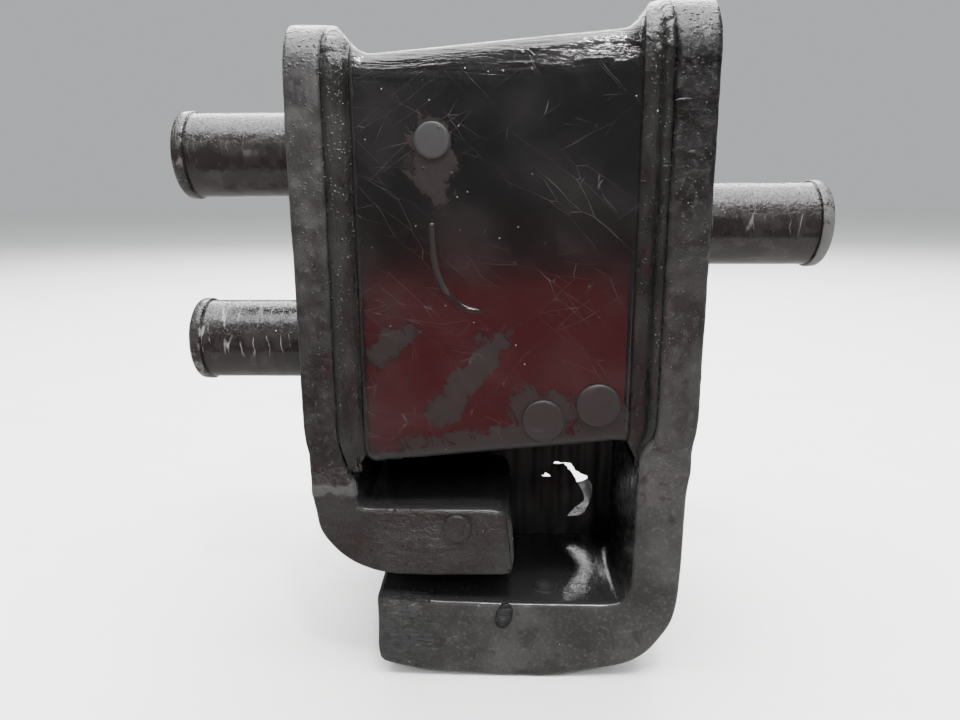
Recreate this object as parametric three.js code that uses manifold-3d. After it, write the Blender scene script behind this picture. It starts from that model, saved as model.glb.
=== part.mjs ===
// Bonded-rubber engine mount with interlocking safety hooks. Millimetres, +Z up.
// Each outline below is drawn in the XZ plane about the middle of the two plates, and
// place() then moves every piece so that the whole mount stands centred on the origin.
import * as THREE from 'three';
import { mergeVertices } from 'three/addons/utils/BufferGeometryUtils.js';
import Module from 'manifold-3d';

const wasm = await Module();
wasm.setup();

// ---- driving dimensions ----
const PLATE_OUT = 35.2;          // middle to the outer face of either plate
const ENGINE_T = 6.2;            // engine plate thickness
const FRAME_T = 7.4;             // frame plate thickness
const ENGINE_TOP = 118.3;
const FRAME_TOP = 121.8;
const PLATE_HALF = 29.0;         // half the plates' depth
const PLATE_CORNER = 10.5;       // corner radius at the top of the plates, seen from the side
const COVER_HALF = 30.0;         // half the depth of the rubber hook covers
const COVER_ROUND = 0.9;         // rounding along the covers' long edges
const CUSHION_HALF = 29.3;
const CUSHION_CORNER = 2.6;
const CUSHION_LEFT = -24.2;
const CUSHION_RIGHT = 23.3;
const BOTTOM_AT_MIDDLE = 45.1;   // underside of the cushion at X = 0
const TOP_AT_MIDDLE = 114.1;     // top of the cushion at X = 0
const BOTTOM_RISE = 0.096;       // the cushion rises towards the frame side by these slopes
const TOP_RISE = 0.085;
const STUD_R = 6.35;             // half-inch stud
const STUD_CORE_R = 5.35;
const THREAD_PITCH = 1.954;      // thirteen threads to the inch
const HEAD_R = 10.0;
const HEAD_T = 2.6;
const HOLE_R = 6.6;
const SPOT_R = 8.7;              // shallow spot face round each stud
const SPOT_DEEP = 0.5;
const ENGINE_STUD_Z = [97.8, 60.1];
const FRAME_STUD_Z = 83.8;
const CAP_R = 8.15;
const CAP_BORE_R = 6.55;
const CAP_RING_R = 8.6;
const ENGINE_TIP = 63.5;         // middle to the closed end of the engine-side caps
const FRAME_TIP = 64.8;
const GAP = 0.15;                // clearance between pieces that touch
const NUB = 0.5;                 // height of the moulding nubs
const WEB_T = 1.2;
const SHIFT_X = -(FRAME_TIP - ENGINE_TIP) / 2;
const SHIFT_Y = NUB / 2;

const STEEL = { color: 0x1b1a19, roughness: 0.5, metalness: 0.3 };
const RUBBER = { color: 0x161515, roughness: 0.35, metalness: 0.0 };
const MATT_RUBBER = { color: 0x353332, roughness: 0.75, metalness: 0.0 };
const THREAD = { color: 0x8c8a84, roughness: 0.4, metalness: 1.0 };
const PLASTIC = { color: 0x262524, roughness: 0.3, metalness: 0.0 };

const part = new THREE.Group();
part.name = 'engine_mount';

// ---- small tools ----
function place(name, geometry, look) {
  geometry.translate(SHIFT_X, SHIFT_Y, 0);
  geometry.computeVertexNormals();
  const mesh = new THREE.Mesh(geometry, new THREE.MeshStandardMaterial(look));
  mesh.name = name;
  part.add(mesh);
}

function toSolid(geometry) {
  const bare = geometry.clone();
  bare.deleteAttribute('normal');
  bare.deleteAttribute('uv');
  const merged = mergeVertices(bare, 1e-5);
  return new wasm.Manifold(new wasm.Mesh({
    numProp: 3,
    vertProperties: new Float32Array(merged.attributes.position.array),
    triVerts: new Uint32Array(merged.index.array),
  }));
}

function toGeometry(solid) {
  const mesh = solid.getMesh();
  const points = new Float32Array(mesh.numVert * 3);
  for (let i = 0; i < mesh.numVert; i += 1) {
    for (let k = 0; k < 3; k += 1) points[3 * i + k] = mesh.vertProperties[i * mesh.numProp + k];
  }
  const geometry = new THREE.BufferGeometry();
  geometry.setAttribute('position', new THREE.BufferAttribute(points, 3));
  geometry.setIndex(new THREE.BufferAttribute(new Uint32Array(mesh.triVerts), 1));
  return geometry;
}

// Rounds the corners of a closed outline given as [x, z, radius] corners.
function rounded(corners, steps = 5) {
  const out = [];
  const n = corners.length;
  corners.forEach(([x, z, radius = 0], i) => {
    const here = new THREE.Vector2(x, z);
    if (radius <= 0) { out.push(here); return; }
    const before = new THREE.Vector2(...corners[(i + n - 1) % n].slice(0, 2)).sub(here);
    const after = new THREE.Vector2(...corners[(i + 1) % n].slice(0, 2)).sub(here);
    const half = Math.acos(THREE.MathUtils.clamp(
      before.dot(after) / before.length() / after.length(), -1, 1)) / 2;
    const along = radius / Math.tan(half);
    const a = here.clone().addScaledVector(before.normalize(), along);
    const b = here.clone().addScaledVector(after.normalize(), along);
    const centre = here.clone().addScaledVector(
      before.clone().add(after).normalize(), radius / Math.sin(half));
    const a0 = Math.atan2(a.y - centre.y, a.x - centre.x);
    let turn = Math.atan2(b.y - centre.y, b.x - centre.x) - a0;
    if (turn > Math.PI) turn -= 2 * Math.PI;
    if (turn < -Math.PI) turn += 2 * Math.PI;
    const pieces = Math.max(1, Math.round(steps * Math.abs(turn) / (Math.PI / 2)));
    for (let k = 0; k <= pieces; k += 1) {
      const t = a0 + turn * k / pieces;
      out.push(new THREE.Vector2(centre.x + radius * Math.cos(t), centre.y + radius * Math.sin(t)));
    }
  });
  return out;
}

// Moves every point of a closed outline outward, for the clearance round a piece.
function grown(points, by) {
  const n = points.length;
  const area = points.reduce((sum, p, i) => sum + p.cross(points[(i + 1) % n]), 0);
  const side = Math.sign(area);
  return points.map((p, i) => {
    const a = p.clone().sub(points[(i + n - 1) % n]).normalize();
    const b = points[(i + 1) % n].clone().sub(p).normalize();
    const out = new THREE.Vector2(a.y + b.y, -a.x - b.x).normalize();
    const miter = Math.max(0.5, out.dot(new THREE.Vector2(b.y, -b.x)));
    return p.clone().addScaledVector(out, side * by / miter);
  });
}

// A prism through the whole depth, Y from -half to half, from an XZ outline.
function prism(outline, half, round = 0, holes = []) {
  const shape = new THREE.Shape(outline);
  shape.holes = holes.map((hole) => new THREE.Path(hole));
  const geometry = new THREE.ExtrudeGeometry(shape, {
    depth: 2 * (half - round), steps: 1, curveSegments: 1,
    bevelEnabled: round > 0, bevelThickness: round, bevelSize: round, bevelOffset: -round,
    bevelSegments: 2,
  });
  geometry.translate(0, 0, -(half - round));
  geometry.rotateX(Math.PI / 2);
  return geometry;
}

// A side-on outline in YZ pushed through X, used to round the plates' top corners.
function sidePrism(corners, low, high) {
  const geometry = new THREE.ExtrudeGeometry(new THREE.Shape(rounded(corners)), {
    depth: high - low, steps: 1, curveSegments: 1, bevelEnabled: false,
  });
  geometry.rotateX(Math.PI / 2);
  geometry.rotateZ(Math.PI / 2);
  geometry.translate(low, 0, 0);
  return geometry;
}

// Turns a profile of [distance along, radius] about an X axis at height z.
function turned(profile, z, segments, direction, start) {
  const points = profile.map(([along, radius]) => new THREE.Vector2(radius, along));
  const geometry = new THREE.LatheGeometry(points, segments);
  geometry.rotateZ(-direction * Math.PI / 2);
  geometry.translate(direction * start, 0, z);
  return geometry;
}

function disc(x, z, radius, from, to, segments = 20) {
  const geometry = new THREE.CylinderGeometry(radius, radius, to - from, segments);
  geometry.translate(x, (from + to) / 2, z);
  return geometry;
}

function button(x, y, radius, from, to) {
  const geometry = new THREE.CylinderGeometry(radius, radius, to - from, 20);
  geometry.rotateX(Math.PI / 2);
  geometry.translate(x, y, (from + to) / 2);
  return geometry;
}

function barrel(z, radius, from, to, segments = 28) {
  const geometry = new THREE.CylinderGeometry(radius, radius, to - from, segments);
  geometry.rotateZ(Math.PI / 2);
  geometry.translate((from + to) / 2, 0, z);
  return geometry;
}

const bottomAt = (x) => BOTTOM_AT_MIDDLE + BOTTOM_RISE * x;
const topAt = (x) => TOP_AT_MIDDLE + TOP_RISE * x;

// ---- steel plates: a straight leg, a joggle, a bend and a flat hook ----
function plate(outline, top, low, high, studs, side) {
  let solid = toSolid(prism(rounded(outline), PLATE_HALF, 0.6));
  solid = solid.intersect(toSolid(sidePrism([
    [-PLATE_HALF - 2, -5], [PLATE_HALF + 2, -5], [PLATE_HALF + 2, 30],
    [PLATE_HALF, 34], [PLATE_HALF, top, PLATE_CORNER], [-PLATE_HALF, top, PLATE_CORNER],
    [-PLATE_HALF, 34], [-PLATE_HALF - 2, 30],
  ], low, high)));
  studs.forEach((z) => {
    solid = solid.subtract(toSolid(barrel(z, HOLE_R, low, high)));
    const face = side * PLATE_OUT;
    solid = solid.subtract(toSolid(barrel(z, SPOT_R, face - SPOT_DEEP, face + SPOT_DEEP, 32)));
  });
  return toGeometry(solid);
}

const engineSteel = [
  [-35.2, 115.43], [-35.2, 47.05, 8], [-33.75, 40.93, 8], [-33.75, 24.73, 12.4], [-1.6, 24.73, 0.8],
  [-1.6, 30.75, 0.8], [-27.55, 30.75, 6.2], [-27.55, 40.93, 8], [-29.0, 47.05, 8], [-29.0, 115.43],
].map(([x, z, r]) => [x, z > 100 ? ENGINE_TOP : z, r]);

const frameSteel = [
  [35.2, FRAME_TOP], [27.8, FRAME_TOP], [27.8, 48.5, 8], [26.1, 41.9, 8], [26.1, 11.25, 5],
  [-19.6, 12.42, 0.8], [-19.6, 5.24, 0.8], [9, 4.07, 20], [33.3, 7.18, 14], [33.3, 41.9, 8],
  [35.2, 48.5, 8],
];

place('engine_plate', plate(engineSteel, ENGINE_TOP, -40, 4, ENGINE_STUD_Z, -1), STEEL);
place('frame_plate', plate(frameSteel, FRAME_TOP, -24, 40, [FRAME_STUD_Z], 1), STEEL);

// ---- rubber bonded to each plate: a ridge beside the plate and a channel beside the cushion ----
function bond(ridge, round, channel, channelHalf, steel, studs, from, to) {
  let solid = toSolid(prism(rounded(ridge), CUSHION_HALF - 0.2, round));
  solid = solid.add(toSolid(prism(rounded(channel), channelHalf)));
  const half = CUSHION_HALF + 0.2;
  const top = Math.max(...ridge.map((corner) => corner[1])) + 0.1;
  solid = solid.intersect(toSolid(sidePrism([
    [-half, 30], [half, 30], [half, top, PLATE_CORNER], [-half, top, PLATE_CORNER],
  ], -40, 40)));
  solid = solid.subtract(toSolid(prism(grown(rounded(steel), GAP), PLATE_HALF + 2)));
  studs.forEach((z) => {
    solid = solid.subtract(toSolid(barrel(z, HEAD_R + 0.3, from, to)));
  });
  return toGeometry(solid);
}

const inner = -PLATE_OUT + ENGINE_T + GAP;
place('engine_bond', bond(
  [[inner - 1, 117.4], [inner - 1, 47.53], [-28.2, 40.93], [-26.6, 40.93], [-24.9, 44.81],
    [-24.9, 114.4, 0.5], [-26.6, 116.2, 1]], 0.3,
  [[inner + 1, 116.0], [inner + 1, 47.92], [-26.5, 41.9], [-24.4, 44.62], [-24.4, 113.9]],
  28.0, engineSteel, ENGINE_STUD_Z, inner - 1, inner + HEAD_T + 0.3), RUBBER);

const outer = PLATE_OUT - FRAME_T - GAP;
place('frame_bond', bond(
  [[outer + 1, 121.4], [26.4, 120.8], [26.4, 47.14], [25.3, 42], [27.5, 42], [outer + 1, 48.69]], 0.15,
  [[outer - 0.9, 121.0], [23.6, 118.7], [23.6, 47.34], [25.0, 42.29], [outer - 0.9, 48.69]],
  26.9, frameSteel, [FRAME_STUD_Z], outer - HEAD_T - 0.3, outer + 1), RUBBER);

// ---- rubber cushion: a rounded rectangle lofted from plate to plate ----
function cushionSection(x, top, bottom, half) {
  const corners = [[-half, bottom], [half, bottom], [half, top], [-half, top]]
    .map(([y, z]) => [y, z, CUSHION_CORNER]);
  return rounded(corners, 3).map((p) => new THREE.Vector3(x, p.x, p.y));
}

function loft(sections) {
  const n = sections[0].length;
  const points = sections.flat();
  const index = [];
  for (let s = 0; s + 1 < sections.length; s += 1) {
    for (let i = 0; i < n; i += 1) {
      const j = (i + 1) % n;
      const [a, b, c, d] = [s * n + i, s * n + j, (s + 1) * n + i, (s + 1) * n + j];
      index.push(a, b, c, b, d, c);
    }
  }
  [0, sections.length - 1].forEach((s) => {
    for (let i = 1; i + 1 < n; i += 1) {
      const [a, b, c] = [s * n, s * n + i, s * n + i + 1];
      if (s === 0) index.push(a, c, b); else index.push(a, b, c);
    }
  });
  const geometry = new THREE.BufferGeometry();
  geometry.setAttribute('position', new THREE.Float32BufferAttribute(
    points.flatMap((p) => [p.x, p.y, p.z]), 3));
  geometry.setIndex(index);
  return geometry;
}

const stations = [
  // X, extra height at the top, extra depth below, depth lost at the front and back
  [CUSHION_LEFT, 1.9, 0.6, 1.2], [-23.8, 1.6, 0.4, 0.5], [-23.0, 0.9, 0.2, 0.1],
  [-21.6, 0.35, 0.1, 0], [-19.5, 0.1, 0, 0], [-12, 0, 0, 0], [-4, -0.1, 0, 0], [4, -0.1, 0, 0],
  [12, 0, 0, 0], [18.6, 0.1, 0, 0], [20.8, 0.5, 0.1, 0], [22.2, 1.3, 0.2, 0.3],
  [22.9, 2.0, 0.4, 0.9], [CUSHION_RIGHT, 2.6, 0.6, 1.9],
];
let cushion = toSolid(loft(stations.map(([x, up, down, back]) => cushionSection(
  x, topAt(x) + up, bottomAt(x) - down, CUSHION_HALF - back))));
const nubs = [[-11.0, 98.8, 2.95], [7.7, 51.2, 3.7], [17.3, 53.9, 3.8]];
nubs.forEach(([x, z, r]) => {
  cushion = cushion.add(toSolid(disc(x, z, r, -CUSHION_HALF - NUB, -CUSHION_HALF + 2)));
});
place('cushion', toGeometry(cushion), RUBBER);

// ---- rubber hook covers, each moulded round its steel hook and open at the top of the leg ----
function cover(outline, steel) {
  const cavity = prism(grown(rounded(steel), GAP), PLATE_HALF + GAP);
  return toSolid(prism(rounded(outline), COVER_HALF, COVER_ROUND)).subtract(toSolid(cavity));
}

const engineCover = cover(
  [[-34.9, 40.35], [-34.3, 34.92, 6], [-34.0, 21.24, 14], [2.7, 21.05, 1.8], [2.4, 34.34, 3.4],
    [-25.6, 34.44, 2.2], [-26.5, 40.35]],
  engineSteel,
).add(toSolid(disc(-7.7, 30.9, 2.5, -COVER_HALF - NUB, -COVER_HALF + 0.5)));
place('engine_hook_cover', toGeometry(engineCover), MATT_RUBBER);

const frameCover = cover(
  [[34.7, 41.32], [25.4, 41.32], [25.3, 15.04, 4.5], [11, 15.13], [-12.6, 16], [-22.8, 16.97, 1],
    [-23.1, 2.91, 2], [-13, 0], [9, 0], [33.9, 4.46, 16.5], [33.9, 34.92, 4]],
  frameSteel,
).add(toSolid(button(8.9, -23.5, 2.6, 14.4, 15.7)));
place('frame_hook_cover', toGeometry(frameCover), MATT_RUBBER);

// ---- thin torn web of moulding flash at mid depth, under the cushion ----
const webOutline = [
  [-24.4, bottomAt(-24.4) - 0.9], [-24.4, 34.92, 3], [3.2, 34.82], [3.2, 15.91], [24.8, 15.52, 5.4],
  [24.8, 41.71], [22.8, bottomAt(22.8) - 0.9],
];
const webTear = [[14.1, 32.2], [15.9, 31.9], [16.8, 30.3], [19.3, 29.1], [20.6, 26.8], [20.7, 25.1],
  [20.1, 22.5], [19.1, 20.3], [17.1, 19.3], [15.1, 19.1], [17.0, 21.5], [19.0, 23.4], [18.7, 25.1],
  [17.3, 27.5], [16.2, 29.6], [14.8, 31.2]];
const vectors = (list) => list.map(([x, z]) => new THREE.Vector2(x, z));
place('flash_web', toGeometry(toSolid(
  prism(rounded(webOutline), WEB_T / 2, 0, [vectors(webTear)]))), RUBBER);

// ---- studs: a head buried in the bond, a plain shank through the plate, then the thread ----
function stud(name, z, side, tip, thickness) {
  const start = PLATE_OUT - thickness - GAP;
  const head = start - HEAD_T;
  const threadFrom = PLATE_OUT + 1.2 - head;
  const end = tip - 2.2 - head;
  const profile = [[0, 0], [0, HEAD_R - 0.6], [0.6, HEAD_R], [HEAD_T, HEAD_R], [HEAD_T, STUD_R],
    [threadFrom - 0.6, STUD_R], [threadFrom, STUD_CORE_R]];
  for (let at = threadFrom + 0.3; at + THREAD_PITCH < end - 1; at += THREAD_PITCH) {
    profile.push([at + 0.42 * THREAD_PITCH, STUD_R], [at + 0.58 * THREAD_PITCH, STUD_R],
      [at + THREAD_PITCH, STUD_CORE_R]);
  }
  profile.push([end - 0.2, STUD_CORE_R - 0.2], [end, STUD_CORE_R - 1.0], [end, 0]);
  place(name, toGeometry(toSolid(turned(profile, z, 20, side, head))), THREAD);
}

stud('stud_engine_upper', ENGINE_STUD_Z[0], -1, ENGINE_TIP, ENGINE_T);
stud('stud_engine_lower', ENGINE_STUD_Z[1], -1, ENGINE_TIP, ENGINE_T);
stud('stud_frame', FRAME_STUD_Z, 1, FRAME_TIP, FRAME_T);

// ---- push-on plastic thread protectors with a grip ring at the closed end ----
function threadCap(name, z, side, tip) {
  const start = PLATE_OUT - SPOT_DEEP + 0.2;
  const end = tip - start;
  const shell = [[0, 0], [0, CAP_R - 0.3], [0.3, CAP_R], [end - 3.1, CAP_R],
    [end - 3.0, CAP_R - 0.3], [end - 2.75, CAP_R - 0.3], [end - 2.7, CAP_RING_R],
    [end - 0.9, CAP_RING_R - 0.1], [end - 0.1, CAP_RING_R - 0.8], [end, CAP_R - 1.6], [end, 0]];
  const hollow = [[-1, 0], [-1, CAP_BORE_R + 0.7], [1.0, CAP_BORE_R], [end - 2.2, CAP_BORE_R],
    [end - 1.6, CAP_BORE_R - 0.6], [end - 1.6, 0]];
  const body = toSolid(turned(shell, z, 32, side, start));
  place(name, toGeometry(body.subtract(toSolid(turned(hollow, z, 32, side, start)))), PLASTIC);
}

threadCap('cap_engine_upper', ENGINE_STUD_Z[0], -1, ENGINE_TIP);
threadCap('cap_engine_lower', ENGINE_STUD_Z[1], -1, ENGINE_TIP);
threadCap('cap_frame', FRAME_STUD_Z, 1, FRAME_TIP);

export default part;
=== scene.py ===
"""Looks of the bonded-rubber engine mount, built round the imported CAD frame. Metres, +Z up.

Shapes are written in millimetres about the middle of the two plates and moved by SHIFT, as in the CAD part.
"""

import math

import bpy
import numpy as np
from mathutils import Matrix, Vector


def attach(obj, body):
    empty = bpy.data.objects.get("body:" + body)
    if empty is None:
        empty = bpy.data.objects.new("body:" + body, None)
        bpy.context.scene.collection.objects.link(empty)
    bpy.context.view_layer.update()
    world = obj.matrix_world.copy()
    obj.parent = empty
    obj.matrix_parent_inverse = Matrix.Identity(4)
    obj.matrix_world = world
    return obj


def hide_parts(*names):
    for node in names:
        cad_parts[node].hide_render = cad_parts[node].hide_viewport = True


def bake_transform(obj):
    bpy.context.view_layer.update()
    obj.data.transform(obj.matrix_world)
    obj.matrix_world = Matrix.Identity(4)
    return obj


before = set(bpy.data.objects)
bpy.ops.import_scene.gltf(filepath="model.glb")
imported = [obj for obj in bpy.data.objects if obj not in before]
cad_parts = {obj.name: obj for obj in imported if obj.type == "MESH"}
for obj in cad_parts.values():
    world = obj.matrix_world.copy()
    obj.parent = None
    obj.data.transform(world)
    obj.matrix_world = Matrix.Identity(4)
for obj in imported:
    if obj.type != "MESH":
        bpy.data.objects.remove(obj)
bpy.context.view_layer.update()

MM = 0.001
SHIFT = np.array([-0.65, 0.25, 0.0])
PLATE_OUT = 35.2
PLATE_HALF, CUSHION_HALF, COVER_HALF = 29.0, 29.3, 30.0
NUB = 0.5
BOTTOM_AT_MIDDLE, BOTTOM_RISE = 45.1, 0.096
TOP_AT_MIDDLE, TOP_RISE = 114.1, 0.085
ENGINE_TOP, FRAME_TOP, PLATE_CORNER = 118.3, 121.8, 10.5
ENGINE_STUD_Z = (97.8, 60.1)
FRAME_STUD_Z = 83.8
ENGINE_TIP, FRAME_TIP = 63.5, 64.8
CAP_R, CAP_RING_R, CAP_BORE_R = 8.15, 8.6, 6.55
STUD_R, STUD_CORE_R, THREAD_PITCH = 6.35, 5.35, 1.954
ENGINE_WALL, FRAME_WALL = 6.2, 7.4
CUSHION_LEFT, CUSHION_RIGHT = -24.2, 23.3
CAP_SEGMENTS, THREAD_SEGMENTS = 96, 72
CARD_FRONT, CARD_SPLIT = -0.118, 0.046


# ---------------------------------------------------------------- small tools
def smooth(t):
    t = min(1.0, max(0.0, t))
    return t * t * (3 - 2 * t)


def hash01(ix, iy, iz, seed):
    h = (ix * 374761393 + iy * 668265263 + iz * 1440662683 + seed * 982451653) & 0xFFFFFFFF
    h = ((h ^ (h >> 13)) * 1274126177) & 0xFFFFFFFF
    return ((h ^ (h >> 16)) & 0xFFFFFF) / float(0xFFFFFF)


def noise3(points, scale, seed=0):
    """Smooth value noise from -1 to 1 at each point; scale is the size of one lump in mm."""
    q = np.asarray(points, float) / scale
    cell = np.floor(q).astype(np.int64)
    f = q - cell
    f = f * f * (3 - 2 * f)
    out = np.zeros(len(q))
    for dx in (0, 1):
        for dy in (0, 1):
            for dz in (0, 1):
                w = (np.where(dx, f[:, 0], 1 - f[:, 0]) * np.where(dy, f[:, 1], 1 - f[:, 1])
                     * np.where(dz, f[:, 2], 1 - f[:, 2]))
                out += w * hash01(cell[:, 0] + dx, cell[:, 1] + dy, cell[:, 2] + dz, seed)
    return out * 2 - 1


def lumps(points, scale, seed=0, octaves=3):
    total, amount = np.zeros(len(points)), 1.0
    for k in range(octaves):
        total += amount * noise3(points, scale / 2 ** k, seed + 17 * k)
        amount *= 0.5
    return total


def spline(keys, count):
    """Catmull-Rom curve through keys, with count points evenly spread by chord length."""
    keys = np.asarray(keys, float)
    steps = np.r_[0, np.cumsum(np.maximum(1e-6, np.linalg.norm(np.diff(keys, axis=0), axis=1)))]
    padded = np.vstack([2 * keys[0] - keys[1], keys, 2 * keys[-1] - keys[-2]])
    out = []
    for t in np.linspace(0, steps[-1], count):
        i = min(len(keys) - 2, max(0, int(np.searchsorted(steps, t, side="right")) - 1))
        u = (t - steps[i]) / (steps[i + 1] - steps[i])
        a, b, c, d = padded[i:i + 4]
        out.append(0.5 * ((2 * b) + (c - a) * u + (2 * a - 5 * b + 4 * c - d) * u * u
                          + (3 * b - a - 3 * c + d) * u ** 3))
    return np.array(out)


def normals_of(verts, faces):
    out = np.zeros_like(verts)
    quads = np.array([f if len(f) == 4 else (*f, f[2]) for f in faces if len(f) < 5])
    n = np.cross(verts[quads[:, 2]] - verts[quads[:, 0]], verts[quads[:, 3]] - verts[quads[:, 1]])
    for k in range(4):
        np.add.at(out, quads[:, k], n)
    return out / np.maximum(1e-9, np.linalg.norm(out, axis=1))[:, None]


def make(name, verts, faces, material, bump=None, attributes=()):
    """A mesh object from millimetre vertices; bump(points) gives a push along the normal in mm."""
    verts = np.asarray(verts, float)
    if bump is not None:
        verts = verts + normals_of(verts, faces) * bump(verts)[:, None]
    mesh = bpy.data.meshes.new(name)
    mesh.from_pydata(((verts + SHIFT) * MM).tolist(), [], [tuple(int(i) for i in f) for f in faces])
    mesh.materials.append(material)
    mesh.polygons.foreach_set("use_smooth", [True] * len(mesh.polygons))
    for label, values in attributes:
        mesh.attributes.new(label, "FLOAT", "POINT").data.foreach_set(
            "value", np.asarray(values, np.float32))
    mesh.update()
    obj = bpy.data.objects.new(name, mesh)
    bpy.context.scene.collection.objects.link(obj)
    return obj


def wall_faces(rows, count):
    """Quads between each ring of count points and the next."""
    return [(r * count + k, r * count + (k + 1) % count, (r + 1) * count + (k + 1) % count,
             (r + 1) * count + k)
            for r in range(rows - 1) for k in range(count)]


def dome_faces(rows, count):
    """Walls between the rings, and a fan from the last ring to one more point."""
    last = (rows - 1) * count
    return wall_faces(rows, count) + [(last + k, last + (k + 1) % count, rows * count) for k in range(count)]


def tube_faces(rows, count, side):
    """Walls of a tube along X, facing out whichever side of the mount it is on."""
    quads = [(r * count + k, (r + 1) * count + k, (r + 1) * count + (k + 1) % count,
              r * count + (k + 1) % count)
             for r in range(rows - 1) for k in range(count)]
    return quads if side < 0 else [q[::-1] for q in quads]


def join_parts(*parts):
    """Several (verts, faces) as one."""
    verts, faces, start = [], [], 0
    for v, f in parts:
        verts.append(np.asarray(v, float))
        faces += [tuple(int(i) + start for i in g) for g in f]
        start += len(v)
    return np.vstack(verts), faces


def skin(rings):
    """Faces between closed rings of equal length, with a fan over each end."""
    rings = np.asarray(rings, float)
    m, n = rings.shape[:2]
    verts = rings.reshape(-1, 3)
    faces = wall_faces(m, n)
    extra = []
    for s in (0, m - 1):
        # shrinking rings keep the end face evenly divided
        centre = rings[s].mean(0)
        previous = s * n
        for share in (0.7, 0.4, 0.15):
            base = len(verts) + len(extra)
            extra += [centre + (p - centre) * share for p in rings[s]]
            for i in range(n):
                j = (i + 1) % n
                quad = (previous + i, previous + j, base + j, base + i)
                faces.append(quad[::-1] if s == 0 else quad)
            previous = base
        middle = len(verts) + len(extra)
        extra.append(centre)
        for i in range(n):
            tri = (previous + i, previous + (i + 1) % n, middle)
            faces.append(tri[::-1] if s == 0 else tri)
    return np.vstack([verts, extra]), faces


def section(a, b, half, radius, across, through):
    """A rounded rectangle: from point a to point b in XZ, and from -half to half in Y."""
    a, b = np.array([a[0], 0, a[1]]), np.array([b[0], 0, b[1]])
    thick = np.linalg.norm(b - a)
    w = (b - a) / max(thick, 1e-6)
    radius = min(radius, thick * 0.48, half * 0.9)
    edge = half - radius
    turns = [math.pi / 2 * k / 5 for k in range(5)]
    side = [(-edge + 2 * edge * k / across, 0) for k in range(across)]
    side += [(edge + radius * math.sin(t), radius - radius * math.cos(t)) for t in turns]
    side += [(half, radius + (thick - 2 * radius) * k / through) for k in range(through)]
    side += [(edge + radius * math.cos(t), thick - radius + radius * math.sin(t)) for t in turns]
    ring = side + [(-y, thick - v) for y, v in side]
    return [a + w * v + np.array([0, y, 0]) for y, v in ring]


def strip(ribs, half_at, radius, step=0.8, across=44, through=8, flip=False):
    """Sweeps a rounded rectangle along ribs given as (outer x, outer z, inner x, inner z)."""
    ribs = np.asarray(ribs, float)
    middle = (ribs[:, :2] + ribs[:, 2:]) / 2
    length = np.linalg.norm(np.diff(ribs[:, :2], axis=0), axis=1).sum()
    path = spline(np.c_[ribs, middle], max(8, int(length / step)))
    rings = []
    for row in path:
        ring = section(row[:2], row[2:4], half_at(row[0], row[1]), radius, across, through)
        rings.append(ring[::-1] if flip else ring)
    return skin(rings)


def top_corner(top, corner, half):
    """Half depth at a height, for a plate whose top corners are rounded in the side view."""
    def at(_x, z):
        d = z - (top - corner)
        if d <= 0:
            return half
        return half - corner + math.sqrt(max(0.0, corner ** 2 - min(d, corner * 0.999) ** 2))
    return at


def lathe(profile, z, side, start):
    """Turns [along, radius] rows about an X axis."""
    verts = [(side * (start + along), radius * math.cos(t), z + radius * math.sin(t))
             for along, radius in profile
             for t in (2 * math.pi * k / CAP_SEGMENTS for k in range(CAP_SEGMENTS))]
    return np.array(verts), tube_faces(len(profile), CAP_SEGMENTS, side)


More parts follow.
